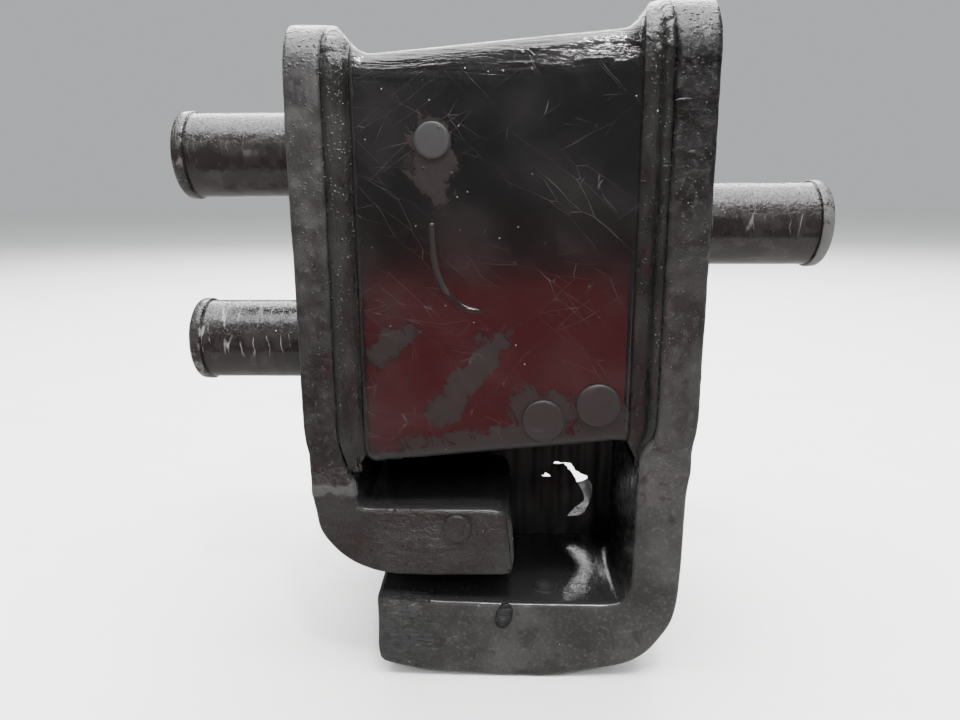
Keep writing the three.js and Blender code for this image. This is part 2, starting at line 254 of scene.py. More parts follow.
# ---------------------------------------------------------------- materials
class Nodes:
    """A short way to write a node tree."""

    def __init__(self, name):
        self.material = bpy.data.materials.new(name)
        self.material.use_nodes = True
        self.tree = self.material.node_tree
        self.tree.nodes.clear()
        self.out = self.tree.nodes.new("ShaderNodeOutputMaterial")
        self.bsdf = self.tree.nodes.new("ShaderNodeBsdfPrincipled")
        self.link(self.bsdf.outputs[0], self.out.inputs[0])
        self.place = self.tree.nodes.new("ShaderNodeTexCoord").outputs["Object"]

    def link(self, a, b):
        self.tree.links.new(a, b)

    def put(self, socket, value):
        if isinstance(value, bpy.types.NodeSocket):
            self.link(value, socket)
        elif value is not None:
            socket.default_value = value

    def math(self, operation, a, b):
        n = self.tree.nodes.new("ShaderNodeMath")
        n.operation = operation
        self.put(n.inputs[0], a)
        self.put(n.inputs[1], b)
        return n.outputs[0]

    def plus(self, a, b):
        return self.math("ADD", a, b)

    def minus(self, a, b):
        return self.math("SUBTRACT", a, b)

    def times(self, a, b):
        return self.math("MULTIPLY", a, b)

    def most(self, a, b):
        return self.math("MAXIMUM", a, b)

    def swing(self, value, amount):
        """A noise turned into a push either way."""
        return self.times(self.minus(value, 0.5), amount)

    def height_above_floor(self):
        axes = self.tree.nodes.new("ShaderNodeSeparateXYZ")
        self.link(self.place, axes.inputs[0])
        return axes.outputs[2]

    def step(self, value, low, high, a=0.0, b=1.0):
        n = self.tree.nodes.new("ShaderNodeMapRange")
        n.interpolation_type = "SMOOTHSTEP"
        for socket, v in zip(n.inputs[:5], (value, low, high, a, b)):
            self.put(socket, v)
        return n.outputs[0]

    def mapped(self, scale=(1, 1, 1), rotation=None, place=None):
        """Coordinates turned first and stretched after."""
        place = place or self.place
        for key, value in (("Rotation", rotation), ("Scale", scale)):
            if value is not None:
                n = self.tree.nodes.new("ShaderNodeMapping")
                self.link(place, n.inputs[0])
                n.inputs[key].default_value = value
                place = n.outputs[0]
        return place

    def texture(self, kind, size, place=None, **fixed):
        """A noise or cell texture whose features are about size mm across."""
        n = self.tree.nodes.new("ShaderNodeTex" + kind)
        self.link(place or self.place, n.inputs["Vector"])
        n.inputs["Scale"].default_value = 1000.0 / size
        for socket, value in fixed.items():
            n.inputs[socket].default_value = value
        return n

    def noise(self, size, detail=3.0, rough=0.55, warp=0.0, place=None):
        return self.texture("Noise", size, place, Detail=detail, Roughness=rough,
                            Distortion=warp).outputs["Fac"]

    def cell_edges(self, size, place):
        n = self.texture("Voronoi", size, place)
        n.feature = "DISTANCE_TO_EDGE"
        return n.outputs["Distance"]

    def warped(self, size, amount, place=None):
        """Coordinates pushed about by noise, amount in metres."""
        base = place or self.place
        n = self.texture("Noise", size, base, Detail=2.0)
        centre = self.tree.nodes.new("ShaderNodeVectorMath")
        centre.operation = "SUBTRACT"
        self.link(n.outputs["Color"], centre.inputs[0])
        centre.inputs[1].default_value = (0.5, 0.5, 0.5)
        scale = self.tree.nodes.new("ShaderNodeVectorMath")
        scale.operation = "SCALE"
        self.link(centre.outputs[0], scale.inputs[0])
        scale.inputs["Scale"].default_value = amount * 2
        add = self.tree.nodes.new("ShaderNodeVectorMath")
        add.operation = "ADD"
        self.link(base, add.inputs[0])
        self.link(scale.outputs[0], add.inputs[1])
        return add.outputs[0]

    def mix(self, share, a, b):
        n = self.tree.nodes.new("ShaderNodeMix")
        n.data_type = "RGBA"
        self.put(n.inputs[0], share)
        for socket, v in ((n.inputs[6], a), (n.inputs[7], b)):
            self.put(socket, v if isinstance(v, bpy.types.NodeSocket) else (*v, 1.0))
        return n.outputs[2]

    def attribute(self, name):
        n = self.tree.nodes.new("ShaderNodeAttribute")
        n.attribute_name = name
        return n.outputs["Fac"]

    def bump(self, height, strength, distance, normal=None):
        n = self.tree.nodes.new("ShaderNodeBump")
        n.inputs["Strength"].default_value = strength
        n.inputs["Distance"].default_value = distance * MM
        self.link(height, n.inputs["Height"])
        if normal is not None:
            self.link(normal, n.inputs["Normal"])
        return n.outputs[0]

    def scratches(self, size, stretch, angle, width, warp=0.0006):
        """Thin straight-ish lines: edges of long thin cells, kept only where a noise is high."""
        place = self.mapped((1, 1, 1 / stretch), (0, angle, 0), self.warped(12, warp))
        line = self.step(self.cell_edges(size, place), width, width * 0.3)
        keep = self.step(self.noise(size * 1.7, 2.0, place=place), 0.50, 0.60)
        return self.times(line, keep)

    def spots(self, size, reach, share, full, place):
        """Round spots: reach is the radius as a part of a cell, full where it is whole, share how many stay."""
        n = self.texture("Voronoi", size, place)
        near = self.step(n.outputs["Distance"], reach, full)
        return self.times(near, self.math("GREATER_THAN", n.outputs["Color"], 1 - share))

    # White specks in the colour: partly dust, partly painted glints.
    def dust_and_glint_specks(self, size, reach, share):
        return self.spots(size, reach, share, reach * 0.5, self.place)

    def pimples(self, size, reach, share):
        """Small round bumps, as a height."""
        return self.spots(size, reach, share, 0.0, self.warped(0.7, 0.0001))

    def finish(self, colour, rough, normal=None, **fixed):
        self.put(self.bsdf.inputs["Base Color"],
                 colour if isinstance(colour, bpy.types.NodeSocket) else (*colour, 1.0))
        self.put(self.bsdf.inputs["Roughness"], rough)
        if normal is not None:
            self.link(normal, self.bsdf.inputs["Normal"])
        for socket, value in fixed.items():
            self.bsdf.inputs[socket.replace("_", " ")].default_value = value
        return self.material


def plate_paint(name, low, high):
    """Thick black paint over pitted steel: even mid grey with mottling, bright specks and dull patches. The
    bright specks are partly dust and partly painted glints, and the tone graded by height between low and high
    is painted light and shade.
    """
    m = Nodes(name)
    dull = m.step(m.noise(5, 5, 0.65), 0.40, 0.62)
    dust_and_glint_specks = m.most(m.dust_and_glint_specks(1.7, 0.08, 0.10), m.dust_and_glint_specks(0.8, 0.13, 0.06))
    drops = m.most(m.pimples(1.0, 0.34, 0.42), m.pimples(0.6, 0.42, 0.40))
    dust = m.step(m.noise(1.6, 5, 0.7), 0.50, 0.72)
    height_here = m.height_above_floor()
    # Painted light and shade: the colour goes from the low tone to the high tone with height above the floor.
    level = m.step(m.plus(height_here, m.swing(m.noise(15, 3), 0.03)), 0.055, 0.105)
    colour = m.mix(level, m.mix(dull, tuple(low * c for c in (0.66, 0.60, 0.60)),
                                (low, low * 0.95, low * 0.93)),
                   m.mix(dull, tuple(high * c for c in (0.60, 0.57, 0.57)), (high, high * 0.97, high * 0.96)))
    colour = m.mix(m.times(dust, 0.35), colour, (0.070, 0.067, 0.064))
    # pale specks mixed in: partly dust, partly painted glints
    colour = m.mix(dust_and_glint_specks, colour, (0.46, 0.46, 0.45))
    rough = m.plus(m.step(dull, 0, 1, 0.30, 0.50), m.step(dust, 0, 1, 0.0, 0.10))
    near_top = m.step(height_here, 0.102, 0.117)
    rough = m.minus(rough, m.times(near_top, 0.16))
    height = m.plus(m.times(m.noise(1.0, 4, 0.6), 0.6), m.times(dust_and_glint_specks, 0.5))
    height = m.times(height, m.step(near_top, 0, 1, 1.0, 1.25))
    normal = m.bump(m.times(drops, m.step(near_top, 0, 1, 1.0, 1.3)), 1.0, 0.22, m.bump(height, 0.85, 0.34))
    return m.finish(colour, rough, normal, Specular_IOR_Level=0.32)


def cushion_paint(name):
    """Glossy black over smooth rubber, with matt scuffs where the attribute says and fine scratches."""
    m = Nodes(name)
    ragged = m.minus(m.noise(3.6, 7, 0.72, 0.8, place=m.mapped((1, 1, 0.5), (0, 0.7, 0))), 0.5)
    edge = m.plus(m.attribute("matt"), m.times(ragged, 1.5))
    patch = m.step(edge, 0.36, 0.70)
    lines = m.most(m.scratches(3.0, 5, 0.8, 0.006), m.scratches(3.4, 6, -0.95, 0.006))
    lines = m.most(lines, m.scratches(2.6, 6, 1.4, 0.005))
    lines = m.times(lines, m.step(m.noise(9, 4, 0.6), 0.42, 0.66, 0.25, 1.0))
    dust_and_glint_specks = m.most(m.dust_and_glint_specks(2.4, 0.05, 0.22), m.dust_and_glint_specks(1.2, 0.08, 0.10))
    drops = m.most(m.pimples(2.6, 0.14, 0.30), m.pimples(1.3, 0.17, 0.14))
    waves = m.times(m.noise(1.7, 4, 0.6, 0.4, place=m.mapped((0.15, 1.0, 1.0))), m.attribute("rim"))
    haze = m.step(m.noise(14, 4), 0.40, 0.75)
    colour = m.mix(haze, (0.0060, 0.0056, 0.0056), (0.0135, 0.0125, 0.0125))
    colour = m.mix(patch, colour, (0.0115, 0.0092, 0.0088))
    colour = m.mix(m.step(m.attribute("matt"), 1.10, 1.35), colour, (0.024, 0.0243, 0.0246))
    colour = m.mix(m.times(lines, 0.20), colour, (0.20, 0.20, 0.20))
    # pale specks mixed in: partly dust, partly painted glints
    colour = m.mix(dust_and_glint_specks, colour, (0.40, 0.40, 0.40))
    rough = m.plus(m.step(patch, 0, 1, 0.11, 0.48), m.step(haze, 0, 1, 0.0, 0.06))
    rough = m.plus(rough, m.times(lines, 0.25))
    height = m.plus(m.times(m.noise(0.9, 3), m.step(patch, 0, 1, 0.05, 1.5)),
                    m.times(m.noise(9, 2), 0.9))
    height = m.minus(height, m.times(lines, 0.25))
    normal = m.bump(waves, 1.0, 0.42, m.bump(drops, 1.0, 0.12, m.bump(height, 0.35, 0.10)))
    return m.finish(colour, rough, normal)


def bond_paint(name):
    m = Nodes(name)
    stretched = m.mapped((1, 1, 0.35))
    dull = m.step(m.noise(5, 5, 0.65, place=stretched), 0.30, 0.75)
    dust_and_glint_specks = m.most(m.dust_and_glint_specks(1.7, 0.12, 0.12), m.dust_and_glint_specks(0.9, 0.14, 0.06))
    colour = m.mix(dull, (0.0078, 0.008, 0.0075), (0.019, 0.0192, 0.018))
    # pale specks mixed in: partly dust, partly painted glints
    colour = m.mix(dust_and_glint_specks, colour, (0.36, 0.36, 0.35))
    rough = m.step(dull, 0, 1, 0.24, 0.46)
    near_top = m.step(m.height_above_floor(), 0.102, 0.117)
    rough = m.minus(rough, m.times(near_top, 0.12))
    drops = m.most(m.pimples(1.1, 0.32, 0.40), m.pimples(0.6, 0.40, 0.36))
    height = m.plus(m.noise(1.3, 5, 0.65, place=stretched),
                    m.times(m.noise(2.6, 2, 0.5, 0.6), m.times(near_top, 2.6)))
    normal = m.bump(drops, 1.0, 0.22, m.bump(height, 0.9, 0.42))
    return m.finish(colour, rough, normal, Specular_IOR_Level=0.42)


def hook_rubber(name, tone, red_reflection_tint=0.0, relief=1.0):
    """Satin dark grey with sandy grain and specks; black gloss where the wet attribute says. The specks are
    partly dust and partly painted glints, and the red tint is a painted red reflection.
    """
    m = Nodes(name)
    cloud = m.step(m.noise(9, 5), 0.35, 0.7)
    patch = m.step(m.noise(4, 5, 0.65, 0.5), 0.56, 0.64)
    wet = m.step(m.plus(m.attribute("wet"), m.swing(m.noise(2.5, 4), 0.5)), 0.35, 0.65)
    crinkle = m.attribute("crinkle")
    waves = m.times(m.noise(1.2, 4, 0.7, 0.8, place=m.mapped((0.5, 1.0, 1.0))), m.times(crinkle, 2.4))
    dust_and_glint_specks = m.most(m.dust_and_glint_specks(1.8, 0.06, 0.14), m.dust_and_glint_specks(0.9, 0.10, 0.07))
    drops = m.most(m.pimples(1.3, 0.26, 0.30), m.pimples(0.7, 0.34, 0.20))
    grain = m.step(m.noise(0.8, 4, 0.7), 0.50, 0.70)
    # The red tint added to the dark tones here and below is a painted red reflection.
    colour = m.mix(cloud, tuple(tone * c for c in (0.040 + red_reflection_tint, 0.038, 0.037)),
                   tuple(tone * c for c in (0.090, 0.086, 0.083)))
    colour = m.mix(m.times(grain, 0.45), colour, tuple(tone * c for c in (0.19, 0.186, 0.18)))
    colour = m.mix(m.times(patch, 0.85), colour, tuple(tone * c for c in (0.036 + red_reflection_tint, 0.032, 0.031)))
    colour = m.mix(wet, colour, (0.016, 0.0155, 0.0155))
    # pale specks mixed in: partly dust, partly painted glints
    colour = m.mix(dust_and_glint_specks, colour, (0.42, 0.42, 0.41))
    pale = m.step(m.plus(m.attribute("dust"), m.swing(m.noise(1.4, 4, 0.7), 0.9)), 0.42, 0.75)
    colour = m.mix(m.times(pale, 0.55), colour, (0.066, 0.065, 0.063))
    shiny = m.most(wet, crinkle)
    colour = m.mix(m.times(crinkle, 0.60), colour, (0.013 + 0.5 * red_reflection_tint, 0.0125, 0.0125))
    rough = m.minus(m.step(patch, 0, 1, 0.50 - 0.05 * relief, 0.38 - 0.03 * relief), m.times(shiny, 0.28))
    height = m.plus(m.times(m.noise(0.55, 3), 0.5), m.times(m.noise(3.4, 3), 0.8))
    height = m.times(height, m.step(wet, 0, 1, 1.0, 0.25))
    normal = m.bump(waves, 1.0, 1.15, m.bump(drops, 1.0, 0.16 * relief, m.bump(height, 0.8, 0.26 * relief)))
    return m.finish(colour, rough, normal, Specular_IOR_Level=0.29)


def cap_paint(name):
    """Gloss black on flexible plastic: crackle, a few pale ring-wise cracks and a bare worn grip ring."""
    m = Nodes(name)
    around = m.mapped((1.5, 0.14, 0.14), place=m.warped(3.0, 0.0009))
    cracks = m.step(m.cell_edges(4.0, around), 0.030, 0.010)
    cracks = m.times(cracks, m.step(m.noise(6, 4, 0.6), 0.46, 0.58))
    cracks = m.times(cracks, m.attribute("cracked"))
    hair = m.step(m.cell_edges(1.0, m.warped(1.1, 0.0008)), 0.09, 0.03)
    hair = m.times(hair, m.attribute("crackle"))
    worn = m.plus(m.attribute("worn"), m.swing(m.noise(1.7, 5, 0.7), 1.1))
    worn = m.step(worn, 0.46, 0.60)
    colour = m.mix(m.step(m.noise(3, 4), 0.4, 0.7), (0.014, 0.011, 0.011), (0.024, 0.020, 0.020))
    colour = m.mix(m.times(cracks, 0.40), colour, (0.55, 0.55, 0.54))
    colour = m.mix(m.times(hair, 0.06), colour, (0.30, 0.30, 0.30))
    colour = m.mix(worn, colour, (0.064, 0.064, 0.062))
    rough = m.plus(m.step(m.noise(2, 4), 0.3, 0.7, 0.13, 0.19), m.step(worn, 0, 1, 0.0, 0.32))
    height = m.times(m.noise(0.8, 3), m.step(m.attribute("crackle"), 0, 1, 0.25, 1.0))
    height = m.minus(height, m.times(cracks, 0.08))
    height = m.minus(height, m.times(hair, 0.8))
    drops = m.most(m.pimples(1.0, 0.34, 0.30), m.pimples(0.6, 0.40, 0.2))
    return m.finish(colour, rough, m.bump(drops, 0.8, 0.10, m.bump(height, 0.75, 0.14)))


def thread_steel(name):
    m = Nodes(name)
    stain = m.step(m.noise(4, 4), 0.45, 0.7)
    colour = m.mix(stain, (0.46, 0.45, 0.43), (0.24, 0.22, 0.20))
    rough = m.step(m.noise(1.5, 3), 0.3, 0.7, 0.26, 0.44)
    return m.finish(colour, rough, m.bump(m.noise(0.5, 3), 0.3, 0.05), Metallic=1.0)


def web_rubber(name):
    m = Nodes(name)
    streak = m.noise(4, 5, 0.65, place=m.mapped((1.0, 1.0, 0.16)))
    colour = m.mix(m.step(streak, 0.4, 0.7), (0.012, 0.012, 0.0115), (0.026, 0.0255, 0.025))
    rough = m.step(streak, 0.35, 0.7, 0.36, 0.55)
    return m.finish(colour, rough, m.bump(streak, 0.5, 0.3), Specular_IOR_Level=0.25)


# One paint on both plates: the left is painted lighter towards the top and the right darker towards the top;
# this grading is painted light and shade.
PLATE_LEFT = plate_paint("painted_steel_left_look", 0.0155, 0.040)
PLATE_RIGHT = plate_paint("painted_steel_right_look", 0.025, 0.0075)
CUSHION = cushion_paint("cushion_look")
BOND = bond_paint("bond_look")
# Same rubber as the lower hook at half the tone: the darker tone is painted shade, and the red tint (0.020) is
# a painted red reflection.
HOOK_UPPER = hook_rubber("hook_rubber_upper_shaded_look", 0.20, 0.020, 2.4)
HOOK_LOWER = hook_rubber("hook_rubber_lower_look", 0.40, 0.0, 1.3)
CAP = cap_paint("cap_look")
THREAD = thread_steel("thread_look")
WEB = web_rubber("web_look")


# ---------------------------------------------------------------- steel plates
def pitted(amount, seed):
    return lambda p: amount * (lumps(p, 2.6, seed) * 0.6 + lumps(p, 9.0, seed + 5, 1) * 0.6)


def lump(x, z, rx, rz, height, rings=7, segments=36, tilt=0.0, front=-30.0):
    """A drop of paint dried on a front face."""
    verts = []
    for r in range(rings):
        t = math.pi / 2 * r / (rings - 0.5)
        for k in range(segments):
            a = 2 * math.pi * k / segments
            u, v = rx * math.cos(t) * math.cos(a), rz * math.cos(t) * math.sin(a)
            verts.append((x + u + tilt * v, front + 0.12 - height * math.sin(t), z + v))
    verts.append((x, front + 0.12 - height, z))
    return np.array(verts), dome_faces(rings, segments)


engine_ribs = [
    (-35.2, 118.3, -29, 118.3), (-35.2, 106.7, -29, 106.7), (-35.2, 87.3, -29, 87.3),
    (-35.2, 67.9, -29, 67.9),
    (-35.2, 53.35, -29, 53.35), (-35.1, 48.02, -28.95, 48.02), (-34.7, 45.1, -28.5, 44.62),
    (-34, 42, -27.8, 41.52), (-33.75, 38.8, -27.55, 38.61), (-33.6, 34.92, -27.5, 36.38),
    (-32.2, 30.65, -26.9, 33.56), (-29.2, 27.16, -25.2, 31.62), (-25, 25.12, -22.6, 30.85),
    (-20, 24.73, -19, 30.75), (-12, 24.73, -12, 30.75), (-1.6, 24.73, -1.6, 30.75),
]
frame_ribs = [
    (35.2, 121.8, 27.8, 121.8), (35.2, 108.64, 27.8, 108.64), (35.2, 87.3, 27.8, 87.3),
    (35.2, 67.9, 27.8, 67.9), (35.2, 54.32, 27.8, 54.32), (35.1, 49.47, 27.7, 49.47),
    (34.6, 46.07, 27.2, 45.78), (33.7, 43.07, 26.4, 42.68), (33.3, 39.77, 26.1, 39.38),
    (33.3, 29.1, 26.1, 27.16), (33.2, 21.34, 26.1, 17.46), (31.4, 14.06, 25, 13.19), (27, 8.34, 22.5, 11.64),
    (20.5, 5.33, 19, 11.35), (9, 4.17, 9, 11.45), (-6, 4.66, -6, 11.93), (-19.6, 5.24, -19.6, 12.42),
]
plate_engine = make("plate_engine_side", *strip(
    engine_ribs, top_corner(ENGINE_TOP, PLATE_CORNER, PLATE_HALF), 0.9, through=10), PLATE_LEFT,
    pitted(0.11, 3))
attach(plate_engine, "engine_side")
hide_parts("engine_plate")
plate_frame = make("plate_frame_side", *join_parts(
    strip(frame_ribs, top_corner(FRAME_TOP, PLATE_CORNER, PLATE_HALF), 0.9, through=12, flip=True),
    lump(29.4, 104.6, 1.5, 0.45, 0.35, tilt=0.6, front=-PLATE_HALF),
    lump(31.2, 96.5, 0.8, 0.5, 0.3, front=-PLATE_HALF)), PLATE_RIGHT, pitted(0.11, 9))
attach(plate_frame, "frame_side")
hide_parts("frame_plate")

# ---------------------------------------------------------------- rubber hook covers
engine_cover_ribs = [
    (-34.75, 46.4, -29.1, 46.4), (-34.62, 44.6, -28.5, 44.6), (-34.5, 42.4, -28.0, 42.4),
    (-34.25, 40.2, -27.0, 40.6), (-34.15, 38.8, -26.2, 39.2), (-34.05, 36.86, -26, 37.83),
    (-33.5, 33.56, -25.75, 36.28), (-32.9, 30.07, -25.35, 35.21), (-30.9, 26.87, -24.6, 34.68),
    (-28, 24.15, -23.3, 34.48), (-24.4, 22.31, -21.4, 34.44), (-20, 21.39, -18.8, 34.39),
    (-14, 21.05, -14, 34.34), (-7, 21.05, -7.5, 34.34), (-1, 21.15, -2.6, 34.34), (0.9, 21.24, -1, 34.24),
    (1.9, 21.53, 0.5, 33.8), (2.5, 22.21, 1.6, 32.98), (2.72, 23.18, 2.2, 31.82), (2.72, 24.25, 2.45, 30.46),
]
frame_cover_ribs = [
    (34.8, 48.6, 27.9, 48.6), (34.65, 46.6, 26.6, 46.6), (34.3, 44.4, 25.3, 44.4), (34.2, 41.6, 24.85, 41.8),
    (33.65, 37.9, 24.65, 37.9), (33.5, 34.44, 24.55, 33.0), (33.45, 27.16, 24.5, 25.22),
    (33.35, 19.88, 24.45, 20.2), (33.0, 15.33, 24.1, 18.05), (32.1, 11.45, 23.4, 16.7),
    (30.0, 7.95, 22.2, 15.8), (27.3, 4.85, 20.6, 15.5), (23.4, 2.75, 18.9, 15.4), (17.5, 1.65, 16.2, 15.4),
    (9, 0.15, 9.5, 15.45), (-2, 0.3, -2, 15.6), (-12, 0.9, -12.5, 16), (-18.2, 1.9, -19, 16.59),
    (-20.9, 2.6, -21.9, 16.83), (-22.3, 3.1, -22.7, 16.68), (-22.95, 3.9, -22.95, 16.2),
    (-23.05, 5.24, -22.85, 15.13),
]


def cover_half(tip_x, thin_above, thin_below):
    """Half depth of a hook cover: drawn in before its tip, and feathered onto the plate at its upper end."""
    def at(x, z):
        d = 1.4 - abs(x - tip_x)
        tip = (1.4 - math.sqrt(max(0.0, 1.96 - d * d)) if d > 0 and z < 36 else 0.0)
        thin = smooth((z - thin_below) / (thin_above - thin_below))
        return COVER_HALF - tip - (COVER_HALF - PLATE_HALF + 0.35) * thin
    return at


def rubbery(amount, seed):
    return lambda p: amount * (lumps(p, 5.0, seed) * 0.7 + lumps(p, 14.0, seed + 3, 1))


def disc_boss(x, z, radius, front, height, rings=8, segments=48, dome=0.05):
    """A raised flat disc with a rounded rim and a faint step, on a face at Y = front."""
    rows = [(radius + 0.12, -0.35), (radius, -0.05), (radius - 0.02, height - 0.14),
            (radius - 0.14, height - 0.02)]
    rows += [((radius - 0.14) * (1 - k / rings), height + dome * k / rings) for k in range(1, rings)]
    verts = []
    for r, up in rows:
        verts += [(x + r * math.cos(2 * math.pi * k / segments), front - up,
                   z + r * math.sin(2 * math.pi * k / segments)) for k in range(segments)]
    verts.append((x, front - height - dome, z))
    return np.array(verts), dome_faces(len(rows), segments)


def wet_share(verts, faces, wavy_end):
    """How glossy the paint is: up-facing and inward faces of the hooks, and the free end of each."""
    n = normals_of(verts, faces)
    inward = -n[:, 0] * np.sign(verts[:, 0])
    up = np.clip((np.maximum(n[:, 2], 0.62 * inward * (np.abs(verts[:, 0]) > 20)) - 0.45) / 0.3, 0, 1)
    up = up * (np.abs(verts[:, 0]) < 30)
    if wavy_end:
        return np.maximum(up, 0.42 * np.clip((-15.5 - verts[:, 0]) / 6, 0, 1) * (verts[:, 2] < 20))
    return np.maximum(up * (verts[:, 0] < 1.2), 0.9 * (n[:, 0] > 0.6))


def crinkle_share(verts, x, z, rx, rz):
    """Where the paint has dried in glossy wrinkles on a front face, fading out raggedly."""
    d = ((verts[:, 0] - x) / rx) ** 2 + ((verts[:, 2] - z) / rz) ** 2
    out = np.clip(0.65 * (1.5 - d) + 0.35 * lumps(verts, 4.0, 91, 2), 0, 1)
    return out * (verts[:, 1] < -COVER_HALF + 2.5)


def dust_share(verts, level, spread):
    """A ragged pale line across the front where a cover starts."""
    height = verts[:, 2] + 0.9 * lumps(verts, 2.2, 77, 2)
    return np.exp(-((height - level) / spread) ** 2) * (verts[:, 1] < -COVER_HALF + 2)


def lay_flat(disc, top, x, y):
    """A disc made on a front face, turned to lie on a level face at height top."""
    verts, faces = disc
    return np.c_[verts[:, 0] + x, verts[:, 2] + y, top - verts[:, 1]], faces


disc = disc_boss(-7.71, 30.85, 2.55, -COVER_HALF, 0.75)
v, f = join_parts(strip(engine_cover_ribs, cover_half(2.7, 45.5, 37.2), 1.0, through=26, across=60), disc)
on_disc = np.arange(len(v)) >= len(v) - len(disc[0])
cover_engine = make("hook_cover_engine_side", v, f, HOOK_UPPER,
                    lambda p: rubbery(0.07, 21)(p) + 0.12 * dust_share(p, 38.1, 0.9),
                    [("wet", np.where(on_disc, 0.0, wet_share(v, f, False))),
                     ("dust", dust_share(v, 38.1, 1.6)),
                     ("crinkle", np.where(on_disc, 0.0, 0.30 * crinkle_share(v, -15.0, 28.5, 14.0, 6.5)))])
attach(cover_engine, "engine_side")
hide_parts("engine_hook_cover")
v, f = join_parts(strip(frame_cover_ribs, cover_half(-23.0, 48.6, 39.0), 1.0, through=26, across=60,
                        flip=True),
                  lay_flat(disc_boss(0, 0, 2.6, 0, 0.40), 15.42, 8.9, -23.5),
                  lump(0.9, 13.0, 1.7, 2.7, 0.85, tilt=0.15))
share = wet_share(v, f, True)
dark_lump = (np.hypot((v[:, 0] - 0.9) / 2.4, (v[:, 2] - 13.0) / 4.0) < 1) & (v[:, 1] < -COVER_HALF - 0.02)
cover_frame = make("hook_cover_frame_side", v, f, HOOK_LOWER, rubbery(0.07, 33),
                   [("wet", np.maximum(share, dark_lump)), ("dust", 0.0 * share),
                    ("crinkle", np.clip(1.25 * crinkle_share(v, -22.0, 9.0, 10.5, 8.5) + 0.7 * dark_lump, 0,
                                        1))])
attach(cover_frame, "frame_side")
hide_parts("frame_hook_cover")


# ---------------------------------------------------------------- bonded ridges
def dense(columns, step=0.25):
    out = []
    for (x0, h0), (x1, h1) in zip(columns, columns[1:]):
        n = max(1, int(math.hypot(x1 - x0, h1 - h0) / step))
        out += [(x0 + (x1 - x0) * k / n, h0 + (h1 - h0) * k / n) for k in range(n)]
    return out + [columns[-1]]


def bond_mesh(columns, bottom, top_at, corner_top, joggle, flip):
    columns = dense(columns)
    shallow = min(half for _, half in columns)
    height = max(top_at(x) for x, _ in columns)
    rings = []
    for share in np.linspace(0, 1, 90):
        ring = []
        for x, half in columns:
            z = bottom(x) + share * (top_at(x) - bottom(x))
            d = max(0.0, z - (corner_top - PLATE_CORNER))
            loss = PLATE_CORNER - math.sqrt(PLATE_CORNER ** 2 - min(d, PLATE_CORNER * 0.99) ** 2)
            deep = shallow + (half - shallow) * smooth((z - bottom(x) - 1.0) / 9.0)
            ring.append((x + joggle(z, x), -(deep - loss), z))
        back = [(x, -y, z) for x, y, z in ring[::-1]]
        ring = ring + back
        rings.append(ring[::-1] if flip else ring)
    return skin(rings)


engine_columns = [
    (-29.0, 28.55), (-28.75, 28.6), (-28.4, 28.85), (-28.0, 29.12), (-27.3, 29.25), (-26.0, 29.27),
    (-25.4, 29.2), (-25.05, 28.95), (-24.8, 28.7), (-24.55, 28.55), (-24.2, 28.5),
]
bond_engine = make("bond_engine_side", *bond_mesh(
    engine_columns, lambda x: 40.93 + max(0.0, x + 26.6) * 1.4,
    lambda x: 117.9 - max(0.0, x + 28.6) * 0.5 - max(0.0, x + 26.8) * 0.75, 118.1,
    lambda z, x: 1.5 * smooth((48.0 - z) / 7) * (1.0 if x < -26 else 0.2), False), BOND, pitted(0.10, 41))
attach(bond_engine, "engine_side")
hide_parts("engine_bond")
frame_columns = [
    (23.2, 27.6), (24.2, 27.45), (25.3, 27.45), (25.8, 27.7), (26.1, 28.2), (26.35, 28.75), (26.65, 29.05),
    (27.1, 29.1), (27.45, 28.95), (27.65, 28.75), (27.85, 28.6),
]
bond_frame = make("bond_frame_side", *bond_mesh(
    frame_columns, lambda x: 41.9 + max(0.0, 25.4 - x) * 1.9, lambda x: 121.5 - max(0.0, 25.3 - x) * 1.25,
    121.6,
    lambda z, x: -1.5 * smooth((49.5 - z) / 7.5) * (1.0 if x > 25.6 else 0.0), False), BOND, pitted(0.08, 47))
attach(bond_frame, "frame_side")
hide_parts("frame_bond")


# ---------------------------------------------------------------- cushion
def end_swell(x):
    """Extra height at the top, extra depth below and depth lost in front, near each plate."""
    left, right = max(0.0, 1 - (x - CUSHION_LEFT) / 3.4), max(0.0, 1 - (CUSHION_RIGHT - x) / 3.4)
    up = 1.9 * left ** 1.7 + 2.7 * right ** 1.7
    corner = max(0.0, 2.4 - (x - CUSHION_LEFT))
    down = 0.6 * right ** 2 - (2.4 - math.sqrt(5.76 - corner * corner))
    l_round, r_round = max(0.0, 1 - (x - CUSHION_LEFT) / 1.0), max(0.0, 1 - (CUSHION_RIGHT - x) / 1.5)
    lost = 0.7 * (1 - math.sqrt(1 - l_round ** 2)) + 2.2 * (1 - math.sqrt(1 - r_round ** 2))
    return up, down, lost


